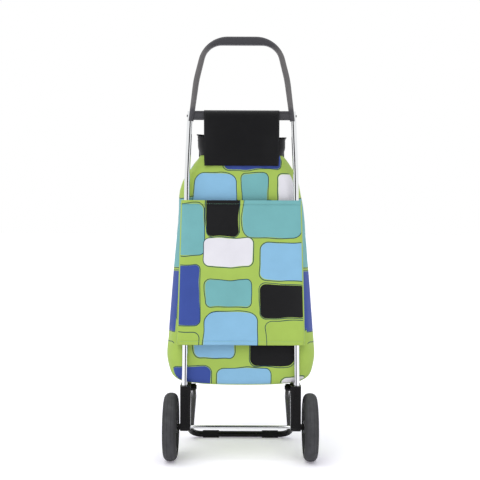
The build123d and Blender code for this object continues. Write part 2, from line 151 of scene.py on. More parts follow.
def grained(name, dark, light, roughness, grain_mm, depth_mm, stretch=(1, 1, 1), **constants):
    """A solid finish whose colour and surface vary with a fine grain of a real size."""
    material, tree, shader = start_material(name, roughness, **constants)
    place = add(tree, "TexCoord").outputs["Object"]
    turned = add(tree, "Mapping", {"Vector": place, "Scale": stretch}).outputs["Vector"]
    cloudy = add(tree, "TexNoise", {"Vector": turned, "Scale": 14.0, "Detail": 3.0})
    fine = add(tree, "TexNoise", {"Vector": turned, "Scale": 1 / (grain_mm * MM), "Detail": 2.0})
    blend = add(tree, "Math", {0: cloudy.outputs["Fac"], 1: fine.outputs["Fac"]}, operation="MULTIPLY")
    ramp = add(tree, "ValToRGB", {"Fac": blend.outputs["Value"]})
    ramp.color_ramp.elements[0].position = 0.12
    ramp.color_ramp.elements[0].color = paint(dark)
    ramp.color_ramp.elements[1].position = 0.42
    ramp.color_ramp.elements[1].color = paint(light)
    tree.links.new(ramp.outputs["Color"], shader.inputs["Base Color"])
    rough = add(
        tree,
        "MapRange",
        {"Value": cloudy.outputs["Fac"], "To Min": roughness * 0.8, "To Max": roughness * 1.2},
    )
    tree.links.new(rough.outputs["Result"], shader.inputs["Roughness"])
    bump = add(tree, "Bump", {"Height": fine.outputs["Fac"], "Distance": depth_mm * MM, "Strength": 0.6})
    tree.links.new(bump.outputs["Normal"], shader.inputs["Normal"])
    return material


# ---- the print on the cloth ----
# Soft-cornered blocks of plain colour: middle x and z, width and height in mm, and the ink.
LIME = "#A4BF56"
TEAL = "#72AEAF"
SKY = "#87B8D6"
ROYAL = "#3A4F99"
BLACK = "#171718"
CHALK = "#E0DEE2"
SLEEVE_BLOCKS = (
    (-124, 566, 64, 124, TEAL),
    (-46, 600, 80, 100, BLACK),
    (76, 602, 142, 110, TEAL),
    (-32, 511, 122, 68, CHALK),
    (108, 488, 120, 92, SKY),
    (-134, 406, 64, 146, ROYAL),
    (-31, 411, 110, 66, TEAL),
    (104, 391, 114, 78, BLACK),
    (-26, 312, 130, 104, SKY),
    (118, 302, 112, 82, LIME),
    (-142, 284, 76, 62, LIME),
)
BACK_BLOCKS = (
    (-66, 652, 102, 104, SKY),
    (32, 652, 64, 104, TEAL),
    (128, 652, 72, 104, CHALK),
    (28, 746, 138, 60, ROYAL),
    (-64, 292, 98, 78, SKY),
    (78, 274, 110, 80, BLACK),
    (-122, 192, 98, 78, ROYAL),
    (8, 190, 130, 76, SKY),
    (132, 172, 60, 66, CHALK),
)
# The outline round each block, in mm: half its width and its largest gap to the block.
# WANDER, in mm, is how freely the whole drawing strays from straight edges, and WANDER_SCALE
# how often. CORNER_SHARE is a block's corner radius as a share of its shorter side.
OUTLINE_INK = "#1F434E"
OUTLINE_HALF = 1.0
OUTLINE_GAP = 3.4
WANDER = 14.0
WANDER_SCALE = 0.013
CORNER_SHARE = 0.2
# The side panels are printed 400 mm further along the same cloth.
SIDE_START = 400
SIDE_BLOCKS = (
    (440, 556, 96, 168, TEAL),
    (446, 388, 104, 148, ROYAL),
    (448, 238, 92, 96, LIME),
    (566, 614, 110, 92, SKY),
    (570, 500, 112, 100, BLACK),
    (576, 376, 100, 112, CHALK),
    (572, 252, 118, 92, TEAL),
    (510, 700, 90, 60, SKY),
    (604, 712, 70, 66, ROYAL),
)


def block_print(tree, cloth_mm, blocks):
    """Blocks of ink on a lime ground, each with a thin dark line a little outside its edge."""
    sway = add(tree, "TexNoise", {"Vector": cloth_mm, "Scale": WANDER_SCALE, "Detail": 1.0})
    centred = add(
        tree, "VectorMath", {0: sway.outputs["Color"], 1: (0.5, 0.5, 0.5)}, operation="SUBTRACT"
    )
    level = add(
        tree, "VectorMath", {0: centred.outputs["Vector"], 1: (WANDER, WANDER, 0.0)}, operation="MULTIPLY"
    )
    drawn = add(tree, "VectorMath", {0: cloth_mm, 1: level.outputs["Vector"]}, operation="ADD")
    gap = add(
        tree,
        "MapRange",
        {"Value": sway.outputs["Fac"], "From Min": 0.3, "From Max": 0.7, "To Max": OUTLINE_GAP},
    )
    colour = paint(LIME)
    for middle_x, middle_z, width, height, ink in blocks:
        corner = CORNER_SHARE * min(width, height)
        shift = add(
            tree,
            "VectorMath",
            {0: drawn.outputs["Vector"], 1: (middle_x, middle_z, 0)},
            operation="SUBTRACT",
        )
        fold = add(tree, "VectorMath", {0: shift.outputs["Vector"]}, operation="ABSOLUTE")
        beyond = add(
            tree,
            "VectorMath",
            {0: fold.outputs["Vector"], 1: (width / 2 - corner, height / 2 - corner, 0)},
            operation="SUBTRACT",
        )
        outside = add(
            tree, "VectorMath", {0: beyond.outputs["Vector"], 1: (0, 0, 0)}, operation="MAXIMUM"
        )
        away = add(tree, "VectorMath", {0: outside.outputs["Vector"]}, operation="LENGTH")
        inked = add(tree, "Math", {0: away.outputs["Value"], 1: corner}, operation="LESS_THAN")
        filled = add(
            tree, "MixRGB", {"Fac": inked.outputs["Value"], "Color1": colour, "Color2": paint(ink)}
        )
        line_at = add(tree, "Math", {0: gap.outputs["Result"], 1: corner}, operation="ADD")
        lined = add(
            tree,
            "Math",
            {0: away.outputs["Value"], 1: line_at.outputs["Value"], 2: OUTLINE_HALF},
            operation="COMPARE",
        )
        drawn_line = add(
            tree,
            "MixRGB",
            {
                "Fac": lined.outputs["Value"],
                "Color1": filled.outputs["Color"],
                "Color2": paint(OUTLINE_INK),
            },
        )
        colour = drawn_line.outputs["Color"]
    return colour


# At a scale of 1 the wave pattern repeats after this length.
WAVE_SPACING = 0.314
PRINT_THREAD_MM = 1.1


def weave(tree, shader, cloth_mm, thread_mm, depth_mm, crease_mm):
    """Crossing threads and a few soft creases, as height."""
    across = add(
        tree, "TexWave", {"Vector": cloth_mm, "Scale": WAVE_SPACING / thread_mm}, bands_direction="X"
    )
    upright = add(
        tree, "TexWave", {"Vector": cloth_mm, "Scale": WAVE_SPACING / thread_mm}, bands_direction="Y"
    )
    threads = add(
        tree, "Math", {0: across.outputs["Fac"], 1: upright.outputs["Fac"]}, operation="MULTIPLY"
    )
    thread_bump = add(
        tree,
        "Bump",
        {"Height": threads.outputs["Value"], "Distance": depth_mm * MM, "Strength": 0.35},
    )
    creases = add(
        tree, "TexNoise", {"Vector": cloth_mm, "Scale": 0.03, "Detail": 4.0, "Roughness": 0.6}
    )
    crease_bump = add(
        tree,
        "Bump",
        {
            "Height": creases.outputs["Fac"],
            "Distance": crease_mm * MM,
            "Strength": 0.5,
            "Normal": thread_bump.outputs["Normal"],
        },
    )
    tree.links.new(crease_bump.outputs["Normal"], shader.inputs["Normal"])
    return threads.outputs["Value"]


def cloth_place(tree):
    """Where a point is on the cut cloth, in mm."""
    cut = add(tree, "UVMap", uv_map="cut").outputs["UV"]
    return add(tree, "VectorMath", {0: cut, 1: (1000, 1000, 0)}, operation="MULTIPLY").outputs["Vector"]


def printed_polyester(name, blocks):
    """Coated polyester taffeta, printed: a faint sheen, close threads and soft creases.

    Real threads are about 0.3 mm apart; here they are 1.1 mm, or they would not show.
    """
    material, tree, shader = start_material(
        name, 0.62, Sheen_Weight=0.08, Sheen_Roughness=0.4, Specular_IOR_Level=0.2
    )
    cloth_mm = cloth_place(tree)
    colour = block_print(tree, cloth_mm, blocks)
    threads = weave(tree, shader, cloth_mm, PRINT_THREAD_MM, 0.12, 2.2)
    cloudy = add(tree, "TexNoise", {"Vector": cloth_mm, "Scale": 0.02, "Detail": 3.0})
    shade = add(tree, "MapRange", {"Value": cloudy.outputs["Fac"], "To Min": 0.9, "To Max": 1.06})
    thread_shade = add(tree, "MapRange", {"Value": threads, "To Min": 0.96, "To Max": 1.03})
    both = add(
        tree, "Math", {0: shade.outputs["Result"], 1: thread_shade.outputs["Result"]}, operation="MULTIPLY"
    )
    tinted = add(tree, "VectorMath", {0: colour, "Scale": both.outputs["Value"]}, operation="SCALE")
    tree.links.new(tinted.outputs["Vector"], shader.inputs["Base Color"])
    return material


def woven(name, dark, light, roughness, thread_mm, depth_mm, crease_mm, **constants):
    """Plain-coloured cloth with visible threads."""
    material, tree, shader = start_material(name, roughness, **constants)
    cloth_mm = cloth_place(tree)
    threads = weave(tree, shader, cloth_mm, thread_mm, depth_mm, crease_mm)
    cloudy = add(tree, "TexNoise", {"Vector": cloth_mm, "Scale": 0.03, "Detail": 3.0})
    mixed = add(tree, "Math", {0: threads, 1: cloudy.outputs["Fac"]}, operation="MULTIPLY")
    colour = add(
        tree,
        "MixRGB",
        {"Fac": mixed.outputs["Value"], "Color1": paint(dark), "Color2": paint(light)},
    )
    tree.links.new(colour.outputs["Color"], shader.inputs["Base Color"])
    return material


# The paler, scuffed band of the tyre: where it starts and is complete, below the tread.
SCUFF_START = 7 * MM
SCUFF_FULL = 1 * MM


def foam_tyre():
    """Moulded EVA foam: dark grey, dull and finely pitted, with a scuffed, paler running surface."""
    material, tree, shader = start_material("moulded_eva_foam", 0.68, Specular_IOR_Level=0.25)
    place = add(tree, "TexCoord").outputs["Object"]
    centred = add(tree, "Mapping", {"Vector": place, "Location": (0, -axle_y, -axle_z)})
    flat = add(
        tree, "VectorMath", {0: centred.outputs["Vector"], 1: (0, 1, 1)}, operation="MULTIPLY"
    )
    radius = add(tree, "VectorMath", {0: flat.outputs["Vector"]}, operation="LENGTH")
    worn = add(
        tree,
        "MapRange",
        {
            "Value": radius.outputs["Value"],
            "From Min": axle_z - SCUFF_START,
            "From Max": axle_z - SCUFF_FULL,
        },
    )
    pits = add(tree, "TexNoise", {"Vector": place, "Scale": 1 / (1.6 * MM), "Detail": 3.0})
    dust = add(tree, "TexNoise", {"Vector": place, "Scale": 60.0, "Detail": 4.0})
    patchy = add(
        tree, "Math", {0: worn.outputs["Result"], 1: dust.outputs["Fac"]}, operation="MULTIPLY"
    )
    colour = add(
        tree,
        "MixRGB",
        {"Fac": patchy.outputs["Value"], "Color1": paint("#2C2C2D"), "Color2": paint("#4D4D4F")},
    )
    speckled = add(
        tree,
        "MixRGB",
        {"Fac": 0.35, "Color1": colour.outputs["Color"], "Color2": pits.outputs["Fac"]},
        blend_type="OVERLAY",
    )
    tree.links.new(speckled.outputs["Color"], shader.inputs["Base Color"])
    bump = add(tree, "Bump", {"Height": pits.outputs["Fac"], "Distance": 0.25 * MM, "Strength": 0.5})
    tree.links.new(bump.outputs["Normal"], shader.inputs["Normal"])
    return material


# How far from the grip and from the crossbar the handle's colour turns darker with painted shade.
GRIP_BLEND = 20 * MM
BAR_BLEND = 12 * MM


def handle_moulding():
    """Injection-moulded polypropylene: warm grey with a fine grain, with painted shade, darker and cooler,
    on the grip and near the crossbar.
    """
    material, tree, shader = start_material("moulded_polypropylene", 0.46, Specular_IOR_Level=0.3)
    place = add(tree, "TexCoord").outputs["Object"]
    height = add(tree, "SeparateXYZ", {"Vector": place}).outputs["Z"]
    grip = add(
        tree, "MapRange", {"Value": height, "From Min": grip_low_z - GRIP_BLEND, "From Max": grip_low_z}
    )
    bar = add(
        tree, "MapRange", {"Value": height, "From Min": bar_top_z + BAR_BLEND, "From Max": bar_top_z}
    )
    # Painted shade: the grip on top and the handle near the crossbar are made darker and cooler.
    marked_area = add(
        tree, "Math", {0: grip.outputs["Result"], 1: bar.outputs["Result"]}, operation="MAXIMUM"
    )
    grain = add(tree, "TexNoise", {"Vector": place, "Scale": 1 / (0.9 * MM), "Detail": 2.0})
    wear = add(tree, "TexNoise", {"Vector": place, "Scale": 35.0, "Detail": 3.0})
    arms = add(
        tree,
        "MixRGB",
        {"Fac": wear.outputs["Fac"], "Color1": paint("#5B5958"), "Color2": paint("#6A6766")},
    )
    # The painted shade's colour, darker and cooler than the arms.
    colour = add(
        tree,
        "MixRGB",
        {"Fac": marked_area.outputs["Value"], "Color1": arms.outputs["Color"], "Color2": paint("#434245")},
    )
    tree.links.new(colour.outputs["Color"], shader.inputs["Base Color"])
    bump = add(tree, "Bump", {"Height": grain.outputs["Fac"], "Distance": 0.05 * MM, "Strength": 0.6})
    tree.links.new(bump.outputs["Normal"], shader.inputs["Normal"])
    return material


def drawn_aluminium():
    """Polished, clear-anodised tube: a bright mirror with faint draw lines along its length."""
    return grained(
        "anodised_aluminium", "#E3E5E7", "#EFF0F1", 0.07, 0.5, 0.0003, stretch=(1, 1, 0.02), Metallic=1.0
    )


sleeve_print = printed_polyester("printed_polyester_sleeve", SLEEVE_BLOCKS)
# The bag repeats some of the sleeve's blocks, mirrored and a little lower.
BAG_PRINT_DROP = 14
mirrored_blocks = tuple(
    (-x, z - BAG_PRINT_DROP, width, height, ink) for x, z, width, height, ink in SLEEVE_BLOCKS[1:8]
)
bag_print = printed_polyester("printed_polyester_bag", mirrored_blocks + BACK_BLOCKS + SIDE_BLOCKS)
# Black satin-woven polyester: deep black, with a soft band of light along the threads.
satin = woven(
    "satin_polyester", "#141415", "#232324", 0.48, 1.0, 0.08, 0.9,
    Specular_IOR_Level=0.2, Sheen_Weight=0.02, Sheen_Roughness=0.35,
)
# The bag's inner side: a grey waterproof coating, smooth and slightly rubbery.
lining = woven("coated_lining", "#7E7F83", "#9A9B9F", 0.45, 1.3, 0.05, 0.8)
# Hook-and-loop tape: a dull black pile that scatters light.
pile = woven("hook_and_loop_pile", "#0C0C0D", "#232324", 0.95, 1.4, 0.5, 0.2, Sheen_Weight=0.2)
# Polyester sewing thread, slightly glossy: black, and teal for the sleeve.
black_thread = grained("black_sewing_thread", "#131314", "#2C2C2E", 0.45, 0.6, 0.1)
teal_thread = grained("teal_sewing_thread", "#5F9A8C", "#86B78F", 0.45, 0.6, 0.1)

handle_plastic = handle_moulding()
# Glass-filled nylon: near black, a little shiny on its edges, with flow marks.
leg_plastic = grained("glass_filled_nylon", "#080707", "#121112", 0.24, 1.2, 0.01, Specular_IOR_Level=0.16)
# Wheel centres in the same family of plastic, duller and greyer.
rim_plastic = grained("moulded_wheel_plastic", "#232425", "#353637", 0.45, 1.1, 0.05)
# Acetal: smooth, waxy natural white.
bush_plastic = grained("turned_acetal", "#DAD9D2", "#EFEEE8", 0.3, 0.8, 0.01, Subsurface_Weight=0.1)
# Extruded polypropylene sheet, with lines from the rollers.
board_plastic = grained("extruded_sheet", "#141415", "#222224", 0.5, 1.5, 0.05, stretch=(1, 0.05, 1))
# Powder coat on steel: black with an orange-peel skin.
powder_coat = grained(
    "powder_coated_steel", "#070708", "#101012", 0.28, 2.2, 0.05, Specular_IOR_Level=0.2
)
# Soft moulded rubber, matt and slightly dusty.
foot_rubber = grained("moulded_rubber", "#0C0C0D", "#19191A", 0.8, 1.0, 0.08, Specular_IOR_Level=0.2)
# Bright drawn steel: a mirror broken by fine lines along the bar.
bright_steel = grained(
    "bright_drawn_steel", "#C9CBCD", "#E0E1E2", 0.12, 0.5, 0.002, stretch=(0.03, 1, 1), Metallic=1.0
)
# Zinc plate: a greyer, cloudier metal.
zinc_plate = grained("zinc_plated_steel", "#9FA3A8", "#C5C8CC", 0.32, 1.5, 0.02, Metallic=1.0)


# ---- mesh helpers ----
def lay_cloth(mesh):
    """Give each face its place on the flat cloth: level threads on every panel."""
    layer = mesh.loops.layers.uv.new("cut")
    for face in mesh.faces:
        lean = face.normal
        for loop in face.loops:
            point = loop.vert.co
            if abs(lean.z) > 0.8:
                loop[layer].uv = (point.x, point.y)
            elif abs(lean.x) > abs(lean.y):
                loop[layer].uv = (SIDE_START * MM + point.y - bag_low.y, point.z)
            else:
                loop[layer].uv = (point.x, point.z)


def as_piece(name, mesh, *materials):
    """A new object from a bmesh, smooth-shaded, at the origin."""
    data = bpy.data.meshes.new(name)
    mesh.to_mesh(data)
    mesh.free()
    data.polygons.foreach_set("use_smooth", [True] * len(data.polygons))
    for material in materials:
        data.materials.append(material)
    piece = bpy.data.objects.new(name, data)
    bpy.context.scene.collection.objects.link(piece)
    return piece


def shaped_cloth(name, columns, rows, place, *materials, smooth=0):
    """A grid of cloth: each corner (u, v) from 0 to 1 goes to place(u, v)."""
    mesh = bmesh.new()
    bmesh.ops.create_grid(mesh, x_segments=columns, y_segments=rows, size=0.5)
    for corner in mesh.verts:
        corner.co = place(corner.co.x + 0.5, corner.co.y + 0.5)
    bmesh.ops.remove_doubles(mesh, verts=mesh.verts, dist=0.02 * MM)
    inside = [corner for corner in mesh.verts if not corner.is_boundary]
    for _ in range(smooth):
        bmesh.ops.smooth_vert(
            mesh, verts=inside, factor=0.5, use_axis_x=True, use_axis_y=True, use_axis_z=True
        )
    bmesh.ops.recalc_face_normals(mesh, faces=mesh.faces)
    lay_cloth(mesh)
    return as_piece(name, mesh, *materials)


def settle(piece):
    """Make a piece's modifiers part of its mesh."""
    graph = bpy.context.evaluated_depsgraph_get()
    finished = bpy.data.meshes.new_from_object(piece.evaluated_get(graph))
    piece.modifiers.clear()
    piece.data = finished
    return piece


def thicken(piece, thickness, offset=-1.0, rounding=0, inner=0):
    """Give cloth its thickness and, with rounding, a subdivided surface; inner picks the lining."""
    if rounding:
        soften = piece.modifiers.new("soften", "SUBSURF")
        soften.levels = soften.render_levels = rounding
    wall = piece.modifiers.new("wall", "SOLIDIFY")
    wall.thickness = thickness
    wall.offset = offset
    wall.material_offset = inner
    return settle(piece)


def rounded(points, times=2):
    """A line of points with its corners cut, keeping its ends."""
    for _ in range(times):
        cut = [points[0]]
        for first, second in zip(points, points[1:]):
            first, second = Vector(first), Vector(second)
            cut += [first.lerp(second, 0.25), first.lerp(second, 0.75)]
        points = cut + [points[-1]]
    return [Vector(point) for point in points]


def along(points, share):
    """The point at a share of a line's length."""
    lengths = [(b - a).length for a, b in zip(points, points[1:])]
    left = share * sum(lengths)
    for start, end, length in zip(points, points[1:], lengths):
        if left <= length:
            return start.lerp(end, left / length)
        left -= length
    return points[-1].copy()


def ripple(point, size, depth, seed=0.0):
    """A soft bulge or dent, the same one every time, from the place itself."""
    return depth * noise.noise(Vector((point.x, point.y + seed, point.z)) / size)


def raised(place, u, v, height):
    """A point a little above a sheet's surface, on the side its faces point to."""
    step = 0.002
    here = place(u, v)
    across = place(min(u + step, 1), v) - place(max(u - step, 0), v)
    down = place(u, min(v + step, 1)) - place(u, max(v - step, 0))
    return here + across.cross(down).normalized() * height, across.normalized(), down.normalized()


def hem(name, place, u_range, v_range, columns, rows, height, material):
    """A folded strip that lies on a sheet, following its shape."""
    def on_sheet(s, t):
        u = u_range[0] + (u_range[1] - u_range[0]) * s
        v = v_range[0] + (v_range[1] - v_range[0]) * t
        return raised(place, u, v, height)[0]
    strip = shaped_cloth(name, columns, rows, on_sheet, material)
    return thicken(strip, HEM_CLOTH, offset=0.0)


def stitches(name, rows, material):
    """Rows of sewing: each row gives a place function, its (u, v) ends and a height."""
    mesh = bmesh.new()
    for place, start, end, height in rows:
        start, end = Vector(start), Vector(end)
        marks = [place(*start.lerp(end, step / STITCH_MARKS)) for step in range(STITCH_MARKS + 1)]
        length = sum((b - a).length for a, b in zip(marks, marks[1:]))
        count = max(2, round(length / STITCH_PITCH))
        for number in range(count):
            here = start.lerp(end, (number + 0.5) / count)
            after = start.lerp(end, (number + 0.7) / count)
            middle = raised(place, here.x, here.y, height)[0]
            ahead = (raised(place, after.x, after.y, height)[0] - middle).normalized()
            made = bmesh.ops.create_icosphere(mesh, subdivisions=1, radius=1.0)["verts"]
            turn = ahead.to_track_quat("X", "Z")
            for corner in made:
                point = Vector([corner.co[k] * STITCH_HALF_MM[k] for k in range(3)]) * MM
                corner.co = middle + turn @ point
    return as_piece(name, mesh, material)


SWELL_FRAMES = 20


def swell(piece, marked_area, limit, pressure, spare, stays):
    """Let cloth billow and crease for a moment, then hold each point near where it was cut."""
    start = [vertex.co.copy() for vertex in piece.data.vertices]
    group = piece.vertex_groups.new(name="marked_area")
    group.add([vertex.index for vertex in piece.data.vertices if marked_area(vertex.co)], 1.0, "REPLACE")
    cloth = piece.modifiers.new("billow", "CLOTH")
    cloth.settings.quality = 6
    cloth.settings.mass = 0.25
    cloth.settings.tension_stiffness = 40
    cloth.settings.compression_stiffness = 40
    cloth.settings.shear_stiffness = 15
    cloth.settings.bending_stiffness = 0.6
    cloth.settings.vertex_group_mass = group.name
    cloth.settings.use_pressure = True
    cloth.settings.uniform_pressure_force = pressure
    cloth.settings.shrink_min = -spare
    cloth.settings.effector_weights.gravity = 0
    cloth.collision_settings.use_collision = False
    cloth.point_cache.frame_start = 1
    cloth.point_cache.frame_end = SWELL_FRAMES
    for number in range(1, SWELL_FRAMES + 1):
        bpy.context.scene.frame_set(number)
    graph = bpy.context.evaluated_depsgraph_get()
    moved = [vertex.co.copy() for vertex in piece.evaluated_get(graph).data.vertices]
    piece.modifiers.clear()
    bpy.context.scene.frame_set(1)
    for vertex, before, after in zip(piece.data.vertices, start, moved):
        shift = after - before
        if shift.length > 1e-9:
            shift *= limit * math.tanh(shift.length / limit) / shift.length
        vertex.co = stays(before + shift)


# ---- bag ----
GIRTH = (15, 4, 16, 4, 30, 4, 16, 4, 15)
BOTTOM_ROWS = 10
WALL_ROWS = 60
SIDE_LEAN = 4 * MM
LEAN_SHARE = 0.85
LEAN_SPREAD = 0.06
GATHER_FROM = 0.86
GATHER_RISE = 0.08
GATHER_FADE = 0.03
PLEATS = 14
PLEAT_DEPTH = 8 * MM
BOTTOM_SAG = 4.5 * MM
SAG_REACH = 108 * MM
SAG_RISE = 40 * MM
MOUTH_TILT = 3.5 * MM
BOARD_RISE = 12 * MM
WAIST_SEAM = 3 * MM
SWELL_LIMIT = 4.5 * MM


def girth_point(u, half_width, back, front, corner):
    """A point round a rounded rectangle; u starts mid-back and goes round by the right."""
    inner_x = half_width - corner
    near_y, far_y = back + corner, front - corner
    stretches = (
        ((0, back), (inner_x, back)),
        (inner_x, near_y, -90),
        ((half_width, near_y), (half_width, far_y)),
        (inner_x, far_y, 0),
        ((inner_x, front), (-inner_x, front)),
        (-inner_x, far_y, 90),
        ((-half_width, far_y), (-half_width, near_y)),
        (-inner_x, near_y, 180),
        ((-inner_x, back), (0, back)),
    )
    step = u * sum(GIRTH)
    for count, stretch in zip(GIRTH, stretches):
        if step <= count + 1e-4:
            break
        step -= count
    share = min(max(step / count, 0), 1)
    if len(stretch) == 2:
        start, end = Vector(stretch[0]), Vector(stretch[1])
        return start.lerp(end, share)
    turn = math.radians(stretch[2] + 90 * share)
    return Vector((stretch[0] + corner * math.cos(turn), stretch[1] + corner * math.sin(turn)))


def outline_at(outline, share):
    """The width and depth shares at a share of the height."""
    for low, high in zip(outline, outline[1:]):
        if share <= high[0] + 1e-6:
            mix = (share - low[0]) / (high[0] - low[0])
            return [low[k] + (high[k] - low[k]) * mix for k in (1, 2)]
    return outline[-1][1:]


def tower_point(u, share, low, high, outline):
    """A point on a tower of rounded rectangles inside a box."""
    width, depth = outline_at(outline, share)
    half_width = width * high.x
    front = low.y + depth * (high.y - low.y)
    flat = girth_point(u, half_width, low.y, front, BAG_CORNER)
    return Vector((flat.x, flat.y, low.z + share * (high.z - low.z)))


def bag_place(u, v):
    """A point on the bag: up the sides from the bottom's edge, or in towards its middle."""
    row = v * (BOTTOM_ROWS + WALL_ROWS)
    if row >= BOTTOM_ROWS:
        share = (row - BOTTOM_ROWS) / WALL_ROWS
        point = tower_point(u, share, bag_low, bag_high, BAG_OUTLINE)
        point.x -= SIDE_LEAN * math.exp(-(((share - LEAN_SHARE) / LEAN_SPREAD) ** 2))
        gathered = max(0.0, min(1.0, (share - GATHER_FROM) / GATHER_RISE))
        gathered *= min(1.0, (1 - share) / GATHER_FADE)
        inward = Vector((-point.x, (bag_low.y + bag_high.y) / 2 - point.y, 0)).normalized()
        return point + inward * gathered * PLEAT_DEPTH * (1 + math.sin(PLEATS * 2 * math.pi * u)) / 2
    edge = tower_point(u, 0, bag_low, bag_high, BAG_OUTLINE)
    middle = Vector((0, (bag_low.y + bag_high.y) / 2, bag_low.z))
    return middle.lerp(edge, row / BOTTOM_ROWS)


def keep_in_bag_box(point):
    """The tubes stop the cloth behind, and the waist seam stops it above."""
    point.y = max(point.y, bag_low.y + 0.2 * MM)
    point.z = min(max(point.z, bag_low.z + 0.1 * MM), bag_high.z)
    return point


def sag(piece):
    """Let the bag's bottom hang a little between the arms of the stand."""
    for vertex in piece.data.vertices:
        near = 1 - (vertex.co.x / SAG_REACH) ** 2
        low = 1 - (vertex.co.z - bag_low.z) / SAG_RISE
        if near > 0 and low > 0:
            vertex.co.z -= BOTTOM_SAG * low * near ** 0.5


def bag():
    body = shaped_cloth(
        "printed_bag", sum(GIRTH), BOTTOM_ROWS + WALL_ROWS, bag_place, bag_print, lining, smooth=4
    )
    board_top = bag_low.z + BOARD_RISE
    waist = bag_high.z - WAIST_SEAM
    swell(
        body,
        marked_area=lambda point: point.z < board_top or point.z > waist,
        limit=SWELL_LIMIT,
        pressure=5.0,
        spare=0.02,
        stays=keep_in_bag_box,
    )
    sag(body)
    thicken(body, BAG_CLOTH, offset=-1.0, rounding=1, inner=1)
    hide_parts("bag_body")
    return body


def mouth_drop(x):
    """The mouth stands a little lower on the right."""
    return MOUTH_TILT * (1 + x / collar_high.x)


def collar_place(u, v):
    point = tower_point(u, v, collar_low, collar_high, COLLAR_OUTLINE)
    if point.y > collar_low.y + 1 * MM:
        outward = Vector((point.x, point.y - (collar_low.y + collar_high.y) / 2, 0)).normalized()
        point += outward * ripple(point, 45 * MM, 2.5 * MM)
    point.z -= v * (abs(ripple(point, 60 * MM, 2.5 * MM, seed=3)) + mouth_drop(point.x))
    return point


def collar():
    band = shaped_cloth("black_collar", sum(GIRTH), 12, collar_place, satin, satin)
    thicken(band, SATIN_CLOTH * 1.6, offset=-1.0, rounding=1)
    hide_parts("bag_collar")
    return band


# ---- flap over the crossbar ----
# The flap's bends, down from its own top: three behind the crossbar and one in front.
# FLAP_FOOT_BEND is up from its foot, FLAP_CLING and FLAP_HANG are along Y, and
# FLAP_HEM_START is the share of its length where the side hems begin.
FLAP_BACK_END = 98 * MM
FLAP_BACK_LOW = 45 * MM
FLAP_BACK_HIGH = 25 * MM
FLAP_FRONT_HIGH = 28 * MM
FLAP_FOOT_BEND = 30 * MM
FLAP_CLING = 0.8 * MM
FLAP_HANG = 5.6 * MM
FLAP_HEM_START = 0.36
flap_half = flap_high.x
flap_middle = SATIN_CLOTH / 2
flap_over_y = flap_low.y + flap_middle
flap_over_z = flap_high.z - flap_middle
flap_back_y = 2 * axle_y - flap_over_y
flap_hang_y = axle_y + FLAP_HANG
flap_line = rounded(
    [
        (flap_back_y - FLAP_CLING, flap_high.z - FLAP_BACK_END),
        (flap_back_y - FLAP_CLING, flap_high.z - FLAP_BACK_LOW),
        (flap_back_y, flap_high.z - FLAP_BACK_HIGH),
        (flap_back_y, flap_over_z),
        (flap_over_y, flap_over_z),
        (flap_over_y, flap_high.z - FLAP_FRONT_HIGH),
        (flap_hang_y, flap_low.z + FLAP_FOOT_BEND),
        (flap_hang_y, flap_low.z),
    ],
    times=3,
)


def flap_place(u, v):
    flat = along(flap_line, v)
    x = flap_half * (2 * u - 1)
    point = Vector((x, flat.x, flat.y))
    hanging = max(0.0, min(1.0, (v - 0.52) / 0.2)) * max(0.0, min(1.0, (1.02 - v) / 0.16))
    point.y += hanging * ripple(point, 55 * MM, 2.4 * MM, seed=7)
    point.x *= 1 - 0.012 * max(0.0, (v - 0.9) / 0.1)
    return point


def flap():
    sheet = shaped_cloth("satin_flap", 44, 64, flap_place, satin)
    thicken(sheet, SATIN_CLOTH, offset=0.0)
    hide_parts("hanging_flap")
    side = HEM_WIDTH / (2 * flap_half)
    length = sum((b - a).length for a, b in zip(flap_line, flap_line[1:]))
    foot = HEM_WIDTH / length
    rise = (SATIN_CLOTH + HEM_CLOTH) / 2
    hems = [
        hem("flap_hem_left", flap_place, (0, side), (FLAP_HEM_START, 1), 4, 44, rise, satin),
        hem("flap_hem_right", flap_place, (1 - side, 1), (FLAP_HEM_START, 1), 4, 44, rise, satin),
        hem("flap_hem_low", flap_place, (side, 1 - side), (1 - foot, 1), 40, 4, rise, satin),
    ]
    top = rise + HEM_CLOTH / 2
    sewn = stitches(
        "flap_stitches",
        [
            (flap_place, (side * 0.8, 0.4), (side * 0.8, 1 - foot * 0.8), top),
            (flap_place, (1 - side * 0.8, 0.4), (1 - side * 0.8, 1 - foot * 0.8), top),
            (flap_place, (side * 0.8, 1 - foot * 0.8), (1 - side * 0.8, 1 - foot * 0.8), top),
        ],
        black_thread,
    )
    return [sheet, *hems, sewn]


# ---- sleeve behind the tubes ----
tube_back = 7.9 * MM
sleeve_slack = 1.6 * MM
SLEEVE_TOP_SHARE = 0.9395
SLEEVE_EDGE = 0.8 * MM
SLEEVE_SEAM = 0.6 * MM
# What the cloth wrapped round both sides adds to the flat width.
TUBE_SHOULDER = 7 * MM
TUBE_PAST = 14 * MM


def sleeve_place(u, v):
    half = sleeve_high.x * (1 + (SLEEVE_TOP_SHARE - 1) * v)
    over_tube = (tube_low.x + tube_high.x) / 2
    sewn_y = sleeve_high.y - SLEEVE_SEAM
    line = [
        (half - SLEEVE_EDGE, sewn_y),
        (half - SLEEVE_EDGE, axle_y - 1.5 * MM),
        (half - TUBE_SHOULDER, axle_y - 6.6 * MM),
        (over_tube, axle_y - tube_back),
        (over_tube - TUBE_PAST, axle_y - tube_back + 0.3 * MM),
    ]
    route = rounded(line + [(0, axle_y - tube_back + sleeve_slack)], times=2)
    side = 1 if u > 0.5 else -1
    flat = along(route, 1 - abs(2 * u - 1))
    point = Vector((side * flat.x, flat.y, sleeve_low.z + v * (sleeve_high.z - sleeve_low.z)))
    between = max(0.0, 1 - (abs(point.x) / (over_tube - 10 * MM)) ** 4)
    point.y += between * ripple(point, CREASE_SIZE, 2.6 * MM, seed=11)
    return point


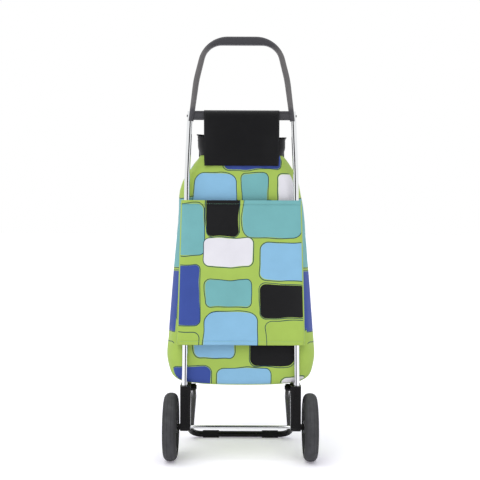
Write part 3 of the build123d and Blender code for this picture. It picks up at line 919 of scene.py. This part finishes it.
def sleeve():
    sheet = shaped_cloth("printed_sleeve", 96, 84, sleeve_place, sleeve_print, lining)
    # The faces have to point backwards, away from the bag.
    thicken(sheet, BAG_CLOTH * 0.8, offset=-1.0, inner=1)
    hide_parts("rear_sleeve")
    height = sleeve_high.z - sleeve_low.z
    band = HEM_WIDTH / height
    rise = HEM_CLOTH / 2
    hems = [
        hem("sleeve_hem_low", sleeve_place, (0.04, 0.96), (0.0, band), 96, 4, rise, sleeve_print),
        hem("sleeve_hem_high", sleeve_place, (0.04, 0.96), (1 - band, 1), 96, 4, rise, sleeve_print),
    ]
    top = rise + HEM_CLOTH / 2
    rows = [
        (sleeve_place, (0.05, band * 0.8), (0.95, band * 0.8), top),
        (sleeve_place, (0.05, 1 - band * 0.8), (0.95, 1 - band * 0.8), top),
        (sleeve_place, (0.012, 0.01), (0.012, 0.99), 0.1 * MM),
        (sleeve_place, (0.988, 0.01), (0.988, 0.99), 0.1 * MM),
    ]
    sewn = stitches("sleeve_stitches", rows, teal_thread)
    return [sheet, *hems, sewn]


# ---- lid ----
LID_CORNER = 26 * MM
LID_DROP_CORNER = 18 * MM


def bitten(distance, radius):
    """How much a rounded corner takes off, at a distance into the corner."""
    inside = max(0.0, min(distance, radius))
    return radius - math.sqrt(radius * radius - inside * inside)


def lid_place(u, v):
    x = lid_high.x * (2 * u - 1)
    front = lid_high.y - bitten(abs(x) - lid_high.x + LID_CORNER, LID_CORNER)
    foot = lid_low.z + bitten(abs(x) - lid_high.x + LID_DROP_CORNER, LID_DROP_CORNER)
    top = lid_high.z - SATIN_CLOTH / 2
    line = rounded([(lid_low.y, top), (front, top), (front, foot)], times=3)
    flat = along(line, v)
    point = Vector((x, flat.x, flat.y))
    over_mouth = max(0.0, 1 - (x / lid_high.x) ** 2) * max(0.0, math.sin(math.pi * min(v / 0.76, 1)))
    point.z += over_mouth * (3.5 * MM + ripple(point, 60 * MM, 3 * MM, seed=5))
    if v > 0.8:
        point.y += (v - 0.8) * ripple(point, 50 * MM, 8 * MM, seed=9)
    point.z -= mouth_drop(x)
    return point


def lid():
    sheet = shaped_cloth("satin_lid", 48, 60, lid_place, satin)
    thicken(sheet, SATIN_CLOTH, offset=0.0)
    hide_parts("lid")
    rise = (SATIN_CLOTH + HEM_CLOTH) / 2
    top = rise + HEM_CLOTH / 2
    side = HEM_WIDTH / (2 * lid_high.x)
    length = (lid_high.y - lid_low.y) + (lid_high.z - lid_low.z)
    foot = HEM_WIDTH / length
    hems = [
        hem("lid_hem_left", lid_place, (0, side), (0.02, 1), 4, 56, rise, satin),
        hem("lid_hem_right", lid_place, (1 - side, 1), (0.02, 1), 4, 56, rise, satin),
        hem("lid_hem_front", lid_place, (side, 1 - side), (1 - foot, 1), 44, 4, rise, satin),
    ]
    sewn = stitches(
        "lid_stitches",
        [
            (lid_place, (side * 0.8, 0.03), (side * 0.8, 1 - foot * 0.8), top),
            (lid_place, (1 - side * 0.8, 0.03), (1 - side * 0.8, 1 - foot * 0.8), top),
            (lid_place, (side * 0.8, 1 - foot * 0.8), (1 - side * 0.8, 1 - foot * 0.8), top),
        ],
        black_thread,
    )
    return [sheet, *hems, sewn]


# ---- tapes ----
def tape(node):
    """A strip of hook-and-loop tape with rounded corners and a soft edge, in its solid's place."""
    low, high = (Vector(corner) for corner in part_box(node))
    mesh = bmesh.new()
    bmesh.ops.create_cube(mesh, size=1.0)
    for corner in mesh.verts:
        corner.co = Vector([low[k] + (high[k] - low[k]) * (corner.co[k] + 0.5) for k in range(3)])
    level = [edge for edge in mesh.edges if abs(edge.verts[0].co.y - edge.verts[1].co.y) > 0.1 * MM]
    bmesh.ops.bevel(
        mesh, geom=level, offset=3 * MM, segments=4, profile=0.5, affect="EDGES", material=-1
    )
    soft = [edge for edge in mesh.edges if abs(edge.verts[0].co.y - edge.verts[1].co.y) < 0.1 * MM]
    bmesh.ops.bevel(
        mesh, geom=soft, offset=0.3 * MM, segments=2, profile=0.5, affect="EDGES", material=-1
    )
    lay_cloth(mesh)
    piece = as_piece(node + "_cloth", mesh, pile)
    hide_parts(node)
    return piece


# ---- sewing round the bag ----
def bag_sewing():
    """Two rows round the collar's top and one round its foot, by the waist seam."""
    rows = []
    for share in (0.80, 0.94):
        rows.append((collar_place, (0, share), (1, share), 0.15 * MM))
    rows.append((collar_place, (0, 0.06), (1, 0.06), 0.15 * MM))
    return stitches("collar_stitches", rows, black_thread)


# ---- studio ----
CARD_DISTANCE = 0.25
CARD_WIDTH = 0.26
CARD_HEIGHT = 2.2
CARD_COLOUR = (0.01, 0.01, 0.01)
FLOOR_COLOUR = (0.95, 0.94, 0.96)
FLOOR_GLOW = 0.2
FLOOR_HALF = 20
GLOW_TINT = (0.95, 0.88, 1.0, 1)
AIR_SEEN = (1, 1, 1, 1)
AIR_FILL = (0.68, 0.7, 0.73, 1)
SUN_STRENGTH = 1.5
SUN_SPREAD = 60
SUN_PLACE = (-0.6, -1.3, 3.0)
SUN_TARGET = (0, 0, 0.3)
CAMERA_DISTANCE = 2.5
CAMERA_HEIGHT = 0.6226
CAMERA_ROLL = -0.226
CAMERA_LENS = 76.35
CAMERA_SENSOR = 36
CAMERA_SHIFT = (-0.0028, -0.0688)


def aim(thing, target):
    """Turn a lamp to face a point."""
    thing.rotation_mode = "QUATERNION"
    thing.rotation_quaternion = (Vector(target) - thing.location).to_track_quat("-Z", "Y")


def studio_finish(name, colour, glow=0.0):
    """A plain dull finish for the studio's floor and card; glow is how much light it gives off."""
    finish, _, shader = start_material(name, 0.9, Specular_IOR_Level=0.1)
    shader.inputs["Base Color"].default_value = (*colour, 1)
    shader.inputs["Emission Color"].default_value = GLOW_TINT
    shader.inputs["Emission Strength"].default_value = glow
    return finish


def dark_card():
    """A tall card just behind the trolley, seen only in reflections: the tubes' dark lines."""
    mesh = bmesh.new()
    bmesh.ops.create_grid(mesh, x_segments=1, y_segments=1, size=0.5)
    for corner in mesh.verts:
        x, z = corner.co.x * CARD_WIDTH, (corner.co.y + 0.5) * CARD_HEIGHT
        corner.co = Vector((x, axle_y - CARD_DISTANCE, z))
    card = as_piece("studio_card", mesh, studio_finish("studio_black", CARD_COLOUR))
    card.visible_camera = card.visible_diffuse = card.visible_shadow = False


def studio():
    """A pale floor in even, slightly cool light, with a dark card for the metal to show."""
    world = bpy.data.worlds.new("studio")
    bpy.context.scene.world = world
    world.use_nodes = True
    tree = world.node_tree
    air = tree.nodes["Background"]
    ray = add(tree, "LightPath").outputs["Is Diffuse Ray"]
    tint = add(tree, "MixRGB", {"Fac": ray, "Color1": AIR_SEEN, "Color2": AIR_FILL})
    tree.links.new(tint.outputs["Color"], air.inputs["Color"])
    bpy.context.scene.view_settings.view_transform = "Standard"

    mesh = bmesh.new()
    bmesh.ops.create_grid(mesh, x_segments=2, y_segments=2, size=FLOOR_HALF)
    as_piece("studio_floor", mesh, studio_finish("studio_white", FLOOR_COLOUR, FLOOR_GLOW))
    dark_card()

    sun = bpy.data.lights.new("soft_sun", "SUN")
    sun.energy = SUN_STRENGTH
    sun.angle = math.radians(SUN_SPREAD)
    lamp = bpy.data.objects.new("soft_sun", sun)
    bpy.context.scene.collection.objects.link(lamp)
    lamp.location = SUN_PLACE
    aim(lamp, SUN_TARGET)


def camera():
    """Square on from behind, a little above the middle of the trolley."""
    data = bpy.data.cameras.new("camera")
    data.lens = CAMERA_LENS
    data.sensor_width = CAMERA_SENSOR
    data.shift_x, data.shift_y = CAMERA_SHIFT
    eye = bpy.data.objects.new("camera", data)
    bpy.context.scene.collection.objects.link(eye)
    eye.location = (0, axle_y - CAMERA_DISTANCE, CAMERA_HEIGHT)
    eye.rotation_euler = (math.radians(90), math.radians(CAMERA_ROLL), 0)
    bpy.context.scene.camera = eye


# ---- finishes of the hard parts ----
FINISHES = {
    "moulded_handle": handle_plastic,
    "polished_tube": drawn_aluminium(),
    "leg_plastic": leg_plastic,
    "axle_steel": bright_steel,
    "zinc_steel": zinc_plate,
    "black_steel": powder_coat,
    "foot_rubber": foot_rubber,
    "tyre_foam": foam_tyre(),
    "rim_plastic": rim_plastic,
    "bush_plastic": bush_plastic,
    "board_plastic": board_plastic,
    "printed_cloth": bag_print,
    "black_cloth": satin,
    "hook_tape": pile,
}


def finish_hard_parts():
    for part in frame["record"]["subparts"]:
        node = frame["nodes"][part["node"]]
        for place in node.material_slots:
            place.material = FINISHES[part["material_slot"]]


def main():
    camera()
    studio()
    finish_hard_parts()
    body, band = bag(), collar()
    ring = bag_sewing()
    flap_pieces, sleeve_pieces, lid_pieces = flap(), sleeve(), lid()
    loop_on_collar = tape("lid_loop_tape")
    hook_on_lid = tape("lid_hook_tape")
    flap_tapes = [tape("flap_hook_tape"), tape("flap_loop_tape")]
    for piece in [body, band, ring, loop_on_collar, *flap_pieces, *sleeve_pieces, *flap_tapes]:
        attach(piece, "frame")
    for piece in [*lid_pieces, hook_on_lid]:
        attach(piece, "lid")
    for piece in [body, band, ring, loop_on_collar, *lid_pieces, hook_on_lid]:
        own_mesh(piece)


main()
